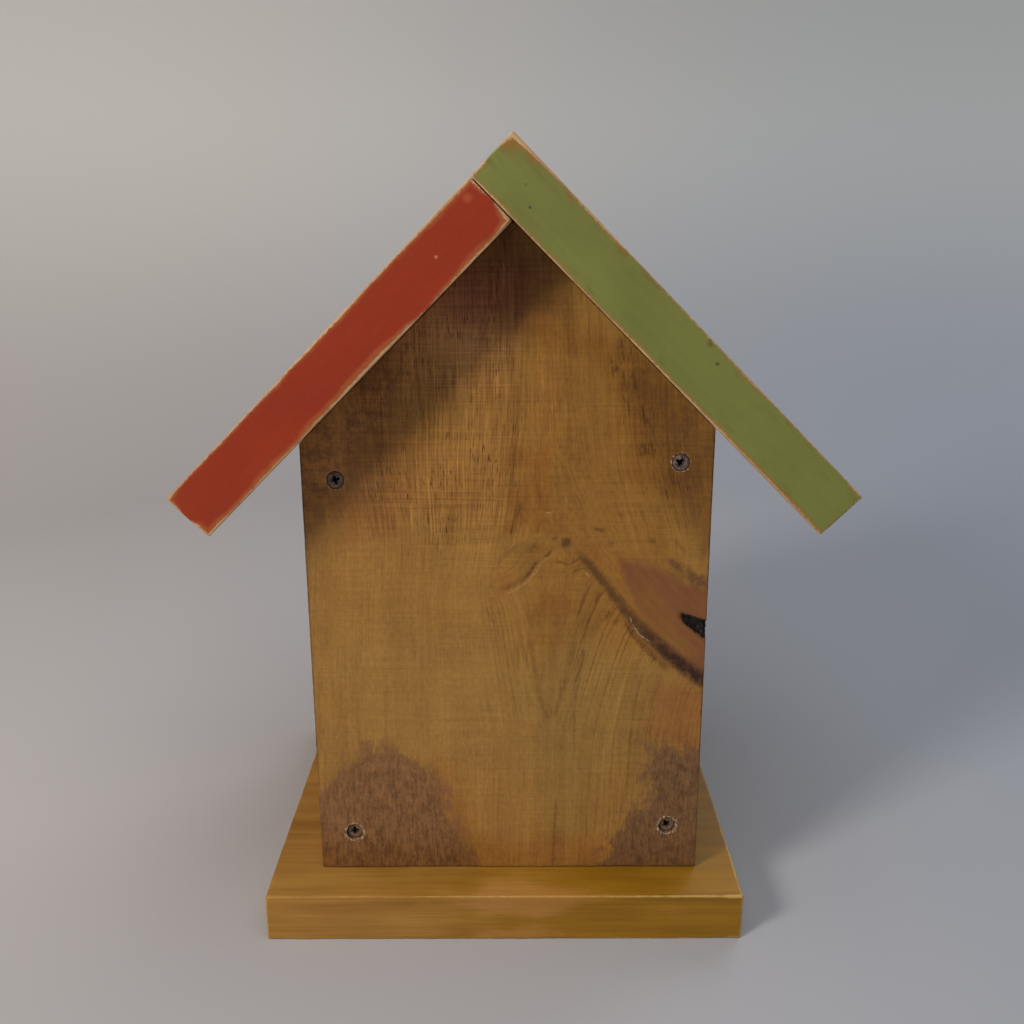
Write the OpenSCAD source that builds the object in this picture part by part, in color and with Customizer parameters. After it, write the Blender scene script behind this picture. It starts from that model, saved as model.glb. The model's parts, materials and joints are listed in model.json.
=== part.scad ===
// Gabled wooden birdhouse on a base board, built from boards of one thickness. All sizes are millimetres.
// The screwed back panel faces -Y and the entrance faces +Y. The ridge of the roof runs along Y above x = 0,
// y = 0 is half-way between the front and back faces of the house, and the base board stands on z = 0.

/* [Boards] */
// Thickness of every board
board_t = 18; // [15:1:22]
// Width of the chamfer that eases the edges of the painted boards
eased = 0.8; // [0.2:0.1:1.5]

/* [House] */
// Width of the front and back panels
house_w = 140; // [120:1:160]
// Width of the side walls, from the front panel to the back panel
wall_d = 102; // [90:1:130]
// Height of the gable's peak above the base board
gable_h = 236; // [200:1:260]
// Distance that the house stands off the ridge line, to the right
house_shift = -2.4; // [-4:0.2:4]
// Gap that lets the back panel slide out past the base board and the roof
panel_gap = 0.4; // [0.2:0.1:1]

/* [Roof] */
// Width of each slope from the inside of the ridge to the eaves
slope_w = 140; // [130:1:160]
// Distance that the roof stands out past the front and back panels
roof_overhang = 22; // [10:1:35]
// Gap between the upper end of the red board and the green board that covers it
ridge_gap = 0.3; // [0:0.1:1]

/* [Base] */
// Width of the base board
base_w = 173; // [160:1:200]
// Distance that the base board stands out past the front and back panels
base_margin = 18; // [5:1:40]
// Distance of the base board's centre from the ridge line, to the right
base_shift = -4; // [-6:0.2:6]

/* [Entrance and perch] */
// Diameter of the entrance hole
entrance_d = 38; // [28:1:40]
// Height of the entrance hole's centre above the base board
entrance_h = 152; // [120:1:155]
// Diameter of the perch dowel
perch_d = 8; // [6:0.5:10]
// Distance of the perch below the entrance hole's centre
perch_drop = 48; // [35:1:60]
// Length of the perch in front of the front panel
perch_reach = 40; // [20:1:60]

/* [Back screws] */
// Distance from the panel's nearer side: upper left, upper right, lower left, lower right
back_screw_inset = [11.6, 11.2, 12.6, 11.2]; // [8:0.2:14]
// Height above the base board, in the same order
back_screw_h = [150.4, 156.2, 15, 17.6]; // [10:0.2:160]
// Depth of each head under the panel's face, in the same order
back_screw_sink = [0.3, 0.3, 1.4, 1.4]; // [0:0.1:2]
// Turn of each cross recess about its screw, in the same order
back_screw_turn = [20, 62, 8, 35]; // [0:1:90]
// Length of a back screw
back_screw_len = 35; // [30:1:40]
// Outside diameter of a back screw's thread
back_screw_d = 3; // [2.5:0.1:4]

/* [Base screws] */
// Length of a base screw
base_screw_len = 40; // [30:1:50]
// Outside diameter of a base screw's thread
base_screw_d = 4; // [3:0.1:5]
// Distance between the two base screws under each side wall
base_screw_pitch = 50; // [40:1:54]

/* [Nails] */
// Length of a nail
nail_len = 32; // [25:1:34]
// Diameter of a nail's shank
nail_d = 1.4; // [1:0.1:2]
// Diameter of a nail's head
nail_head_d = 2.4; // [1.6:0.1:3]

/* [Hidden] */

$fn = 48;
overcut = 1;            // how far a cutter runs past the face that it cuts
fit_gap = 0.05;         // radial clearance round a screw, nail or dowel that grips its hole
screw_clearance = 0.2;  // radial clearance of a screw's hole through the board that it clamps
head_clearance = 0.1;   // radial clearance round a screw's head
head_rim = 0.3;         // straight rim at the top of a countersunk head
head_ratio = 2;         // a screw head's diameter over its thread's
root_ratio = 0.68;      // a thread's root diameter over its outside diameter
pitch_ratio = 0.45;     // a thread's pitch over its outside diameter
thread_share = 0.6;     // part of a screw's length that is threaded
tip_ratio = 1.6;        // a screw point's length over the thread's diameter
nail_head_t = 0.8;      // thickness of a nail's head
nail_tip = 2;           // length of a nail's point
wall_nail_inset = 6.5;  // distance of the roof nails from a side wall's outer face
gable_nail_slope = [30, 75];          // distances down the slope of the nails into the front gable
wall_nail_y = [-36, 0, 36];           // places of the roof nails along a side wall
ridge_nail_y = [-62, 0, 62];          // places of the nails through the ridge
front_nail_h = [22, 85, 145];         // heights of the front panel's nails above the base board

house_d = wall_d + 2 * board_t;                  // outer depth of the house
roof_d = house_d + 2 * roof_overhang;            // length of the roof boards along the ridge
base_d = house_d + 2 * base_margin;              // depth of the base board
peak_z = board_t + gable_h;                      // height of the gable's peak
left_x = house_shift - house_w / 2;              // outer face of the left side wall
right_x = house_shift + house_w / 2;             // outer face of the right side wall
entrance_z = board_t + entrance_h;               // height of the entrance hole's centre
perch_z = entrance_z - perch_drop;               // height of the perch
screw_x = [left_x + back_screw_inset[0], right_x - back_screw_inset[1],
           left_x + back_screw_inset[2], right_x - back_screw_inset[3]];

pine = "#9a6a35";
red_paint = "#8c3324";
green_paint = "#6e7540";
golden_stain = "#9a6c24";
dark_steel = "#5a5a5e";
bright_steel = "#a8a8a8";

// Rectangle centred on the origin with its corners cut off.
module cut_rectangle(w, h, c) {
    polygon([[-w/2 + c, -h/2], [w/2 - c, -h/2], [w/2, -h/2 + c], [w/2, h/2 - c],
             [w/2 - c, h/2], [-w/2 + c, h/2], [-w/2, h/2 - c], [-w/2, -h/2 + c]]);
}

// Board centred on the origin with all twelve edges eased.
module eased_board(size) {
    intersection() {
        linear_extrude(height = size.z, center = true)
            cut_rectangle(size.x, size.y, eased);
        rotate([90, 0, 0])
            linear_extrude(height = size.y, center = true)
                cut_rectangle(size.x, size.z, eased);
        rotate([90, 0, 90])
            linear_extrude(height = size.x, center = true)
                cut_rectangle(size.y, size.z, eased);
    }
}

// Prism along Y of an outline drawn in X and Z, from y0 to y0 + depth.
module upright_prism(y0, depth) {
    translate([0, y0 + depth, 0])
        rotate([90, 0, 0])
            linear_extrude(height = depth)
                children();
}

// Outline of a gabled panel that stays gap clear of the base board and of the roof.
module gable_outline(gap) {
    foot = board_t + gap;
    peak = peak_z - gap * sqrt(2);
    polygon([[left_x, foot], [right_x, foot], [right_x, peak - right_x], [0, peak], [left_x, peak + left_x]]);
}

// Frame of one slope: x runs to the right along the slope from the inside of the ridge, z points out of it.
module on_slope(side) {
    translate([0, 0, peak_z])
        rotate([0, side * 45, 0])
            children();
}

// Countersunk wood screw along -Z with the top of its head at z = 0. The thread is a row of rings.
module wood_screw(len, d) {
    thread_r = d / 2;
    root_r = thread_r * root_ratio;
    head_r = thread_r * head_ratio;
    neck_z = -head_rim - (head_r - thread_r);
    pitch = d * pitch_ratio;
    point_z = -len + d * tip_ratio;
    rings = floor((len * thread_share - d * tip_ratio) / pitch);
    thread_z = point_z + rings * pitch;
    ring_points = [for (i = [0 : rings - 1], p = [[root_r, 0], [thread_r, 0.5]])
                      [p[0], thread_z - (i + p[1]) * pitch]];
    difference() {
        rotate_extrude()
            polygon(concat([[0, 0], [head_r, 0], [head_r, -head_rim], [thread_r, neck_z],
                            [thread_r, thread_z + pitch]],
                           ring_points, [[root_r, point_z], [0, -len]]));
        cross_recess(head_r * 1.1, head_r * 0.75);
    }
}

// Tapered cross recess, cut down from z = 0.
module cross_recess(w, depth) {
    intersection() {
        translate([0, 0, -depth])
            cylinder(h = depth + overcut, r1 = w * 0.15, r2 = w * 0.62);
        for (a = [0, 90])
            rotate(a)
                cube([2 * w, w * 0.26, 4 * depth], center = true);
    }
}

// Cutter for the hole of a wood screw through the board that it clamps, out to a face sink above its head.
module clamped_hole(len, d, sink) {
    head_r = d / 2 * head_ratio + head_clearance;
    hole_r = d / 2 + screw_clearance;
    cone_h = head_r - hole_r;
    translate([0, 0, -len])
        cylinder(h = len, r = hole_r);
    translate([0, 0, -head_rim - cone_h])
        cylinder(h = cone_h, r1 = hole_r, r2 = head_r);
    translate([0, 0, -head_rim])
        cylinder(h = head_rim + sink + overcut, r = head_r);
}

// Cutter for the pilot hole that grips a screw's thread.
module pilot_hole(len, d) {
    translate([0, 0, -len - overcut])
        cylinder(h = len + overcut, r = d / 2 + fit_gap);
}

// Nail along -Z with the top of its head at z = 0, swollen by gap to make the cutter of its hole.
module nail(gap = 0) {
    head_r = nail_head_d / 2 + gap;
    shank_r = nail_d / 2 + gap;
    rotate_extrude()
        polygon([[0, gap > 0 ? overcut : 0], [head_r, gap > 0 ? overcut : 0], [head_r, -nail_head_t],
                 [shank_r, -nail_head_t - (head_r - shank_r)], [shank_r, -nail_len + nail_tip],
                 [0, -nail_len - gap]]);
}

// Places of the fasteners. Each puts its children head outwards, with the top of the head on the board's face.
module at_back_screw(i) {
    translate([screw_x[i], -house_d / 2 + back_screw_sink[i], board_t + back_screw_h[i]])
        rotate([90, 0, 0])
            rotate(back_screw_turn[i])
                children();
}

module at_base_screws() {
    for (x = [left_x + board_t / 2, right_x - board_t / 2], y = [-1, 1])
        translate([x, y * base_screw_pitch / 2, head_rim])
            rotate([180, 0, 0])
                children();
}

module at_front_nails() {
    for (x = [left_x + board_t / 2, right_x - board_t / 2], h = front_nail_h)
        translate([x, house_d / 2, board_t + h])
            rotate([-90, 0, 0])
                children();
}

module at_roof_nails(side) {
    wall_x = side > 0 ? right_x : -left_x;
    wall_slope = (wall_x - wall_nail_inset) * sqrt(2);
    gable_y = house_d / 2 - board_t / 2;
    on_slope(side) {
        for (s = gable_nail_slope)
            translate([side * s, gable_y, board_t])
                children();
        for (y = wall_nail_y)
            translate([side * wall_slope, y, board_t])
                children();
    }
}

module at_ridge_nails() {
    on_slope(1)
        for (y = ridge_nail_y)
            translate([-board_t / 2, y, board_t])
                children();
}

// Sub-parts.
module base_board() {
    color(golden_stain)
        difference() {
            translate([base_shift, 0, board_t / 2])
                eased_board([base_w, base_d, board_t]);
            at_base_screws() clamped_hole(base_screw_len, base_screw_d, head_rim);
        }
}

module side_wall(side) {
    outer_x = side > 0 ? right_x : left_x;
    inner_x = outer_x - side * board_t;
    color(pine)
        difference() {
            upright_prism(-wall_d / 2, wall_d)
                polygon([[outer_x, board_t], [inner_x, board_t], [inner_x, peak_z - abs(inner_x)],
                         [outer_x, peak_z - abs(outer_x)]]);
            for (i = [0 : 3])
                at_back_screw(i) pilot_hole(back_screw_len, back_screw_d);
            at_base_screws() pilot_hole(base_screw_len, base_screw_d);
            at_front_nails() nail(fit_gap);
            at_roof_nails(side) nail(fit_gap);
        }
}

module front_panel() {
    color(pine)
        difference() {
            upright_prism(house_d / 2 - board_t, board_t)
                gable_outline(0);
            for (cut = [[entrance_z, entrance_d / 2], [perch_z, perch_d / 2 + fit_gap]])
                translate([house_shift, house_d / 2 + overcut, cut[0]])
                    rotate([90, 0, 0])
                        cylinder(h = board_t + 2 * overcut, r = cut[1]);
            at_front_nails() nail(fit_gap);
            for (side = [-1, 1])
                at_roof_nails(side) nail(fit_gap);
        }
}

module back_panel() {
    color(pine)
        difference() {
            upright_prism(-house_d / 2, board_t)
                gable_outline(panel_gap);
            for (i = [0 : 3])
                at_back_screw(i) clamped_hole(back_screw_len, back_screw_d, back_screw_sink[i]);
        }
}

module red_roof_board() {
    color(red_paint)
        difference() {
            on_slope(-1)
                translate([-(slope_w + ridge_gap) / 2, 0, board_t / 2])
                    eased_board([slope_w - ridge_gap, roof_d, board_t]);
            at_roof_nails(-1) nail(fit_gap);
            at_ridge_nails() nail(fit_gap);
        }
}

module green_roof_board() {
    color(green_paint)
        difference() {
            on_slope(1)
                translate([(slope_w - board_t) / 2, 0, board_t / 2])
                    eased_board([slope_w + board_t, roof_d, board_t]);
            at_roof_nails(1) nail(fit_gap);
            at_ridge_nails() nail(fit_gap);
        }
}

module perch_dowel() {
    color(pine)
        translate([house_shift, house_d / 2 - board_t, perch_z])
            rotate([-90, 0, 0])
                rotate_extrude()
                    polygon([[0, 0], [perch_d/2, 0], [perch_d/2, board_t + perch_reach - 1],
                             [perch_d/2 - 1, board_t + perch_reach], [0, board_t + perch_reach]]);
}

module back_screw(i) {
    color(dark_steel)
        at_back_screw(i) wood_screw(back_screw_len, back_screw_d);
}

module base_screws() {
    color(bright_steel)
        at_base_screws() wood_screw(base_screw_len, base_screw_d);
}

module front_panel_nails() {
    color(bright_steel)
        at_front_nails() nail();
}

module roof_nails(side) {
    color(bright_steel)
        at_roof_nails(side) nail();
}

module ridge_nails() {
    color(bright_steel)
        at_ridge_nails() nail();
}

base_board();
side_wall(-1);  // left_side_wall
side_wall(1);  // right_side_wall
front_panel();
back_panel();
red_roof_board();
green_roof_board();
perch_dowel();
back_screw(0);  // back_screw_upper_left
back_screw(1);  // back_screw_upper_right
back_screw(2);  // back_screw_lower_left
back_screw(3);  // back_screw_lower_right
base_screws();
front_panel_nails();
roof_nails(-1);  // red_roof_nails
roof_nails(1);  // green_roof_nails
ridge_nails();
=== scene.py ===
"""The looks of the birdhouse: worn boards, stained pine, screws with real threads and a plain studio."""
from functools import reduce
import json
import math

import bmesh
import bpy
import numpy as np
from mathutils import Matrix, Vector


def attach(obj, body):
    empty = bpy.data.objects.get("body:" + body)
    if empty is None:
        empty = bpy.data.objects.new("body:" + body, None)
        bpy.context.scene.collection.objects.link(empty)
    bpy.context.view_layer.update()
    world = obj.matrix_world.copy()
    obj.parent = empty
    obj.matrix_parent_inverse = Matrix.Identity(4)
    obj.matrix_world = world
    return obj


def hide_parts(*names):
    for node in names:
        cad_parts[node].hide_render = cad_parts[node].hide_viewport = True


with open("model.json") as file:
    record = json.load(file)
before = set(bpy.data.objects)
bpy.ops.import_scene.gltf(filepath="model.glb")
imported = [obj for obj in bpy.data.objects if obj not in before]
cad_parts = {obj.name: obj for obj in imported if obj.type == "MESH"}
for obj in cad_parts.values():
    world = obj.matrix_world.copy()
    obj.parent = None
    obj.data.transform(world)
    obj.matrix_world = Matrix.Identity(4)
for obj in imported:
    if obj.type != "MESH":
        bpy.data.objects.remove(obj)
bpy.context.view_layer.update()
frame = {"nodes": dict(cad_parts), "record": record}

MM = 0.001

# ---------------------------------------------------------------- camera

CAMERA_PLACE = (0.0, -433.8, 260.4)          # millimetres
CAMERA_TILT = 15.82                          # degrees below the horizon
CAMERA_YAW = 0.12                            # degrees to the left
CAMERA_ROLL = 0.20                           # degrees clockwise
CAMERA_LENS = 38.96                          # millimetres, on a sensor 36 wide


def add_object(name, data):
    item = bpy.data.objects.new(name, data)
    bpy.context.scene.collection.objects.link(item)
    return item


def turned(degrees, axis, size=3):
    return Matrix.Rotation(math.radians(degrees), size, axis)


def make_camera():
    data = bpy.data.cameras.new("camera")
    data.lens = CAMERA_LENS
    data.sensor_width = 36
    camera = add_object("camera", data)
    turn = turned(CAMERA_YAW, "Z") @ turned(90 - CAMERA_TILT, "X") @ turned(-CAMERA_ROLL, "Z")
    camera.matrix_world = Matrix.Translation(Vector(CAMERA_PLACE) * MM) @ turn.to_4x4()
    bpy.context.scene.camera = camera


make_camera()

# ---------------------------------------------------------------- sizes read from the frame, in millimetres


def corners(node, turn=0.0):
    """Lowest and highest corner of a CAD node in a frame turned by turn degrees about Y."""
    points = np.array([v.co for v in frame["nodes"][node].data.vertices]) / MM
    points = points @ np.array(turned(turn, "Y"))
    return points.min(0), points.max(0)


BASE_LOW, BASE_HIGH = corners("base_board")
BACK_LOW, BACK_HIGH = corners("back_panel")
FRONT_LOW, FRONT_HIGH = corners("front_panel")
BOARD_T = BASE_HIGH[2] - BASE_LOW[2]
PANEL_X = (BACK_LOW[0] + BACK_HIGH[0]) / 2          # middle of the house
FOOT_Z = BASE_HIGH[2]                               # top of the base board
PEAK_Z = FRONT_HIGH[2]                              # inside of the ridge, above x = 0
# Each back screw and how far its recess is turned, in degrees
BACK_SCREWS = {"back_screw_upper_left": 20, "back_screw_upper_right": 62,
               "back_screw_lower_left": 8, "back_screw_lower_right": 35}
SUNK = 1.0                                          # a head deeper than this is below the panel's face

# ---------------------------------------------------------------- smooth random fields


def ripple(points, wavelength, seed, waves=14):
    """Smooth random field of about -1 to 1 with the given wavelength (a number, or one per axis)."""
    random = np.random.default_rng(seed)
    total = np.zeros(len(points))
    for _ in range(waves):
        direction = random.normal(size=points.shape[1])
        direction /= np.linalg.norm(direction)
        turns = random.uniform(0.6, 1.5) / np.broadcast_to(wavelength, points.shape[1])
        total += np.sin(points @ (2 * math.pi * direction * turns) + random.uniform(0, 2 * math.pi))
    return total / math.sqrt(waves / 2) / 1.6


def bump(points, centre, reach):
    """1 at centre, falling smoothly to 0 a few times reach away."""
    return np.exp(-(((points - np.array(centre)) / reach) ** 2).sum(1))


def smooth(values, low, high):
    """0 below low and 1 above high, or the other way round where low is the greater."""
    t = np.clip((values - low) / (high - low), 0, 1)
    return t * t * (3 - 2 * t)


def line_distance(points, line):
    """Signed distance of 2-D points from a line of straight stretches, and how far along it, 0 to 1."""
    line = np.array(line, float)
    best = np.full(len(points), 1e9)
    signed = np.zeros(len(points))
    along = np.zeros(len(points))
    lengths = np.linalg.norm(np.diff(line, axis=0), axis=1)
    start = 0.0
    for a, b, length in zip(line[:-1], line[1:], lengths):
        direction = (b - a) / length
        t = np.clip((points - a) @ direction, 0, length)
        gap = points - a - t[:, None] * direction
        distance = np.linalg.norm(gap, axis=1)
        side = np.sign(direction[0] * gap[:, 1] - direction[1] * gap[:, 0])
        nearer = distance < best
        best = np.where(nearer, distance, best)
        signed = np.where(nearer, side * distance, signed)
        along = np.where(nearer, (start + t) / lengths.sum(), along)
        start += length
    return signed, along


def inside_distance(points, outline):
    """Distance of 2-D points from a closed outline, positive inside it."""
    closed = np.array([*outline, outline[0]], float)
    distance = np.abs(line_distance(points, closed)[0])
    inside = np.zeros(len(points), bool)
    for (x0, z0), (x1, z1) in zip(closed[:-1], closed[1:]):
        if z0 != z1:
            crossing = (z0 > points[:, 1]) != (z1 > points[:, 1])
            inside ^= crossing & (points[:, 0] < (x1 - x0) * (points[:, 1] - z0) / (z1 - z0) + x0)
    return np.where(inside, distance, -distance)


# ---------------------------------------------------------------- boards

ARRIS_STEPS = np.array([0, 0.12, 0.28, 0.5, 0.8, 1.2, 1.8, 2.6])
SOFTEN_ROUNDS = 8


def stations(low, high, step, fine=None):
    """Places of a board's grid lines along one axis: close at both ends, and in the stretch fine, which is
    (from, to, step)."""
    steps = ARRIS_STEPS[ARRIS_STEPS < (high - low) / 4]
    places = list(low + steps) + list(high - steps)
    edge = low + steps[-1]
    inner = high - steps[-1]
    while edge < inner:
        here = fine[2] if fine and fine[0] <= edge <= fine[1] else step
        edge += here
        if edge < inner - here / 2:
            places.append(edge)
    return np.array(sorted(set(places)))


def box_shell(us, vs, ws):
    """Points, as indices into the three lists of stations, and quads of the skin of a box-shaped grid."""
    shape = (len(us), len(vs), len(ws))
    skin = np.zeros(shape, bool)
    for axis in range(3):
        ends = [slice(None)] * 3
        for end in (0, -1):
            ends[axis] = end
            skin[tuple(ends)] = True
    index = np.full(shape, -1)
    index[skin] = np.arange(skin.sum())
    quads = []
    for axis in range(3):
        for end in (0, -1):
            face = index.take(end, axis=axis)
            quad = np.stack([face[:-1, :-1], face[1:, :-1], face[1:, 1:], face[:-1, 1:]], -1).reshape(-1, 4)
            outward = (end == -1) == (axis != 1)
            quads.append(quad if outward else quad[:, ::-1])
    return np.argwhere(skin), np.vstack(quads)


def soften(points, planes, radius):
    """Rounds a convex board's arrises. planes are (outward normal, offset), radius one number per point."""
    inner = points.copy()
    for _ in range(SOFTEN_ROUNDS):
        for normal, offset in planes:
            over = np.maximum(inner @ normal - (offset - radius), 0)
            inner -= over[:, None] * normal
    gap = points - inner
    length = np.linalg.norm(gap, axis=1)
    scale = np.where(length > 1e-9, radius / np.maximum(length, 1e-9), 1)
    return inner + gap * np.minimum(scale, 1)[:, None]


def make_object(name, points, faces, turn=0.0):
    """A mesh object from points in millimetres, given in a frame turned by turn degrees about Y."""
    mesh = bpy.data.meshes.new(name)
    mesh.from_pydata(np.asarray(points).tolist(), [], [list(map(int, f)) for f in faces])
    mesh.transform(turned(turn, "Y", 4) @ Matrix.Scale(MM, 4))
    mesh.update()
    return add_object(name, mesh)


def closed_object(name, points, faces):
    """The same, with every face of the closed shape pointing outwards."""
    piece = make_object(name, points, faces)
    work = bmesh.new()
    work.from_mesh(piece.data)
    bmesh.ops.recalc_face_normals(work, faces=work.faces)
    work.to_mesh(piece.data)
    work.free()
    return piece


def cut(piece, cutters):
    """Takes closed cutters away from a piece, and throws the cutters away."""
    for cutter in cutters:
        modifier = piece.modifiers.new("cut", "BOOLEAN")
        modifier.operation = "DIFFERENCE"
        modifier.solver = "EXACT"
        modifier.object = cutter
    graph = bpy.context.evaluated_depsgraph_get()
    result = bpy.data.meshes.new_from_object(piece.evaluated_get(graph))
    piece.modifiers.clear()
    piece.data = result
    for cutter in cutters:
        bpy.data.objects.remove(cutter)


def local_points(piece, turn=0.0):
    """A piece's points in millimetres, in a frame turned by turn degrees about Y."""
    co = np.zeros(len(piece.data.vertices) * 3, np.float32)
    piece.data.vertices.foreach_get("co", co)
    return co.reshape(-1, 3).astype(float) / MM @ np.array(turned(turn, "Y"))


def store(piece, **fields):
    """Keeps one number, or one vector, per point for the materials to read, under each field's name."""
    for name, values in fields.items():
        kind, key = ("FLOAT_VECTOR", "vector") if np.ndim(values) == 2 else ("FLOAT", "value")
        attribute = piece.data.attributes.new(name, kind, "POINT")
        attribute.data.foreach_set(key, np.asarray(values, np.float32).ravel())


def finish_piece(piece, node, material, smooth_angle=42.0):
    """Gives a piece its material, and puts it in the place of its CAD node, on that node's body."""
    mesh = piece.data
    mesh.materials.clear()
    mesh.materials.append(material)
    mesh.polygons.foreach_set("material_index", [0] * len(mesh.polygons))
    mesh.polygons.foreach_set("use_smooth", [True] * len(mesh.polygons))
    mesh.set_sharp_from_angle(angle=math.radians(smooth_angle))
    mesh.update()
    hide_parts(node)
    bodies = frame["record"]["behaviour"]["bodies"]
    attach(piece, next(body for body, members in bodies.items() if node in members))


def board(name, low, high, step, radius, wear=(), roof=None, turn=0.0, relief=None, fine_x=None, fine_z=None):
    """A board as a grid with rounded, worn arrises. low and high are its corners in its own frame. roof is
    the height above x = 0 where its top is cut at 45 degrees both ways. wear holds (centre, reach, extra
    radius) of places worn rounder. relief(points) returns how far each point moves."""
    fine = (fine_x, None, fine_z)
    us, vs, ws = (stations(low[axis], high[axis], step, fine[axis]) for axis in range(3))
    ids, quads = box_shell(us, vs, ws)
    points = np.stack([us[ids[:, 0]], vs[ids[:, 1]], ws[ids[:, 2]]], 1)
    planes = []
    for axis, normal in enumerate(np.eye(3)):
        planes += [(normal, high[axis]), (-normal, -low[axis])]
    if roof is not None:
        tops = np.minimum(high[2], roof - np.abs(points[:, 0]))
        share = (points[:, 2] - low[2]) / (high[2] - low[2])
        points[:, 2] = low[2] + share * (tops - low[2])
        planes += [(np.array([side, 0, 1]) / math.sqrt(2), roof / math.sqrt(2)) for side in (-1, 1)]
    radii = radius * (1 + 0.35 * ripple(points, 14, 3) + 0.25 * ripple(points, 4, 4))
    for centre, reach, extra in wear:
        radii = radii + extra * bump(points, centre, reach)
    points = soften(points, planes, np.clip(radii, 0.4 * radius, None))
    if relief:
        points = points + relief(points)
    return make_object(name, points, quads, turn)


def lathe(profile, sides=64, ragged=None):
    """Closed lathe about Z of a profile of (radius, z) from one end of the axis to the other.
    ragged(angles, z, radii) may change the radii."""
    angles = np.arange(sides) / sides * 2 * math.pi
    points = [(0, 0, profile[0][1])]
    for r, z in profile[1:-1]:
        radii = np.full(sides, float(r))
        if ragged:
            radii = ragged(angles, z, radii)
        points += list(zip(radii * np.cos(angles), radii * np.sin(angles), np.full(sides, z)))
    points.append((0, 0, profile[-1][1]))
    starts = [1 + ring * sides for ring in range(len(profile) - 2)]
    faces = []
    for i in range(sides):
        j = (i + 1) % sides
        faces.append((0, 1 + i, 1 + j))
        faces += [(a + i, b + i, b + j, a + j) for a, b in zip(starts[:-1], starts[1:])]
        faces.append((starts[-1] + i, len(points) - 1, starts[-1] + j))
    return np.array(points), faces


def across(points, x, y, z):
    """Points of a lathe about Z, laid along Y from the point (x, y, z)."""
    return np.stack([points[:, 0] + x, points[:, 2] + y, points[:, 1] + z], 1)


# ---------------------------------------------------------------- materials


class Nodes:
    """A node tree, with short calls for the nodes that the finishes need."""

    def __init__(self, tree):
        self.tree = tree

    def feed(self, socket, value):
        if isinstance(value, bpy.types.NodeSocket):
            self.tree.links.new(value, socket)
        else:
            socket.default_value = value

    def node(self, kind, inputs, **settings):
        """A new node with its settings. inputs gives each input a value or a link, by its name or place."""
        node = self.tree.nodes.new("ShaderNode" + kind)
        for name, value in settings.items():
            setattr(node, name, value)
        for key, value in inputs.items():
            self.feed(node.inputs[key], value)
        return node

    def read(self, name, output="Fac"):
        """What a mesh stores under this name. The output is Vector where it is a vector."""
        return self.node("Attribute", {}, attribute_name=name).outputs[output]

    def object_place(self):
        """Object coordinates in millimetres."""
        return self.stretch(self.node("TexCoord", {}).outputs["Object"], (MM, MM, MM))

    def math(self, operation, *values, clamp=False):
        return self.node("Math", dict(enumerate(values)), operation=operation, use_clamp=clamp).outputs[0]

    def add(self, *values):
        return reduce(lambda total, value: self.math("ADD", total, value), values)

    def times(self, *values):
        return reduce(lambda total, value: self.math("MULTIPLY", total, value), values)

    def swung(self, base, *noises):
        """The base, and about it the swing of each noise of 0 to 1, given as (noise, amount)."""
        return self.add(base, *(self.times(self.add(noise, -0.5), amount) for noise, amount in noises))

    def share(self, *noises):
        """A share of 0 to 1 that swings about a half."""
        return self.math("ADD", self.swung(0.5, *noises), 0.0, clamp=True)

    def split(self, vector):
        return self.node("SeparateXYZ", {0: vector}).outputs

    def join(self, *values):
        return self.node("CombineXYZ", dict(enumerate(values))).outputs[0]

    def stretch(self, vector, sizes):
        """The vector with each axis divided by a size, so that a noise of it has grains of those sizes."""
        return self.node("VectorMath", {0: vector, 1: sizes}, operation="DIVIDE").outputs[0]

    def noise(self, vector, sizes, detail=2.0, roughness=0.5, distortion=0.0):
        inputs = {"Vector": self.stretch(vector, sizes), "Scale": 1.0, "Detail": detail,
                  "Roughness": roughness, "Distortion": distortion}
        return self.node("TexNoise", inputs).outputs["Fac"]

    def ramp(self, value, low, high, to_low=0.0, to_high=1.0):
        inputs = {"Value": value, "From Min": low, "From Max": high, "To Min": to_low, "To Max": to_high}
        return self.node("MapRange", inputs, interpolation_type="SMOOTHSTEP").outputs[0]

    def mix(self, share, a, b, blend="MIX"):
        return self.node("Mix", {0: share, 6: a, 7: b}, data_type="RGBA", blend_type=blend).outputs[2]

    def tinted(self, colour, tint):
        return self.mix(1.0, colour, tint, blend="MULTIPLY")

    def spot(self, vector, centre, reach):
        """1 at centre, falling to 0 at reach away from it."""
        distance = self.node("VectorMath", {0: vector, 1: centre}, operation="DISTANCE")
        return self.ramp(distance.outputs["Value"], reach, 0.0)

    def relief(self, height, depth):
        """Bump of the given depth in millimetres for a height of 0 to 1."""
        return self.node("Bump", {"Strength": 1.0, "Distance": depth * MM, "Height": height}).outputs[0]


class Shader(Nodes):
    """The nodes of a new material."""

    def __init__(self, name):
        self.material = bpy.data.materials.new(name)
        self.material.use_nodes = True
        super().__init__(self.material.node_tree)
        self.tree.nodes.clear()

    def finished(self, colour, roughness, normal=None, specular=0.5, metallic=0.0):
        """The material, with a surface of this colour. A constant is set on the surface's own socket."""
        inputs = {"Base Color": colour, "Roughness": roughness,
                  "Specular IOR Level": specular, "Metallic": metallic}
        if normal is not None:
            inputs["Normal"] = normal
        self.node("OutputMaterial", {0: self.node("BsdfPrincipled", inputs).outputs[0]})
        return self.material


def linear(red, green, blue):
    """Scene colour of an sRGB colour given as 0 to 255."""
    shares = (red / 255, green / 255, blue / 255)
    return (*(c / 12.92 if c <= 0.04045 else ((c + 0.055) / 1.055) ** 2.4 for c in shares), 1.0)


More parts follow.
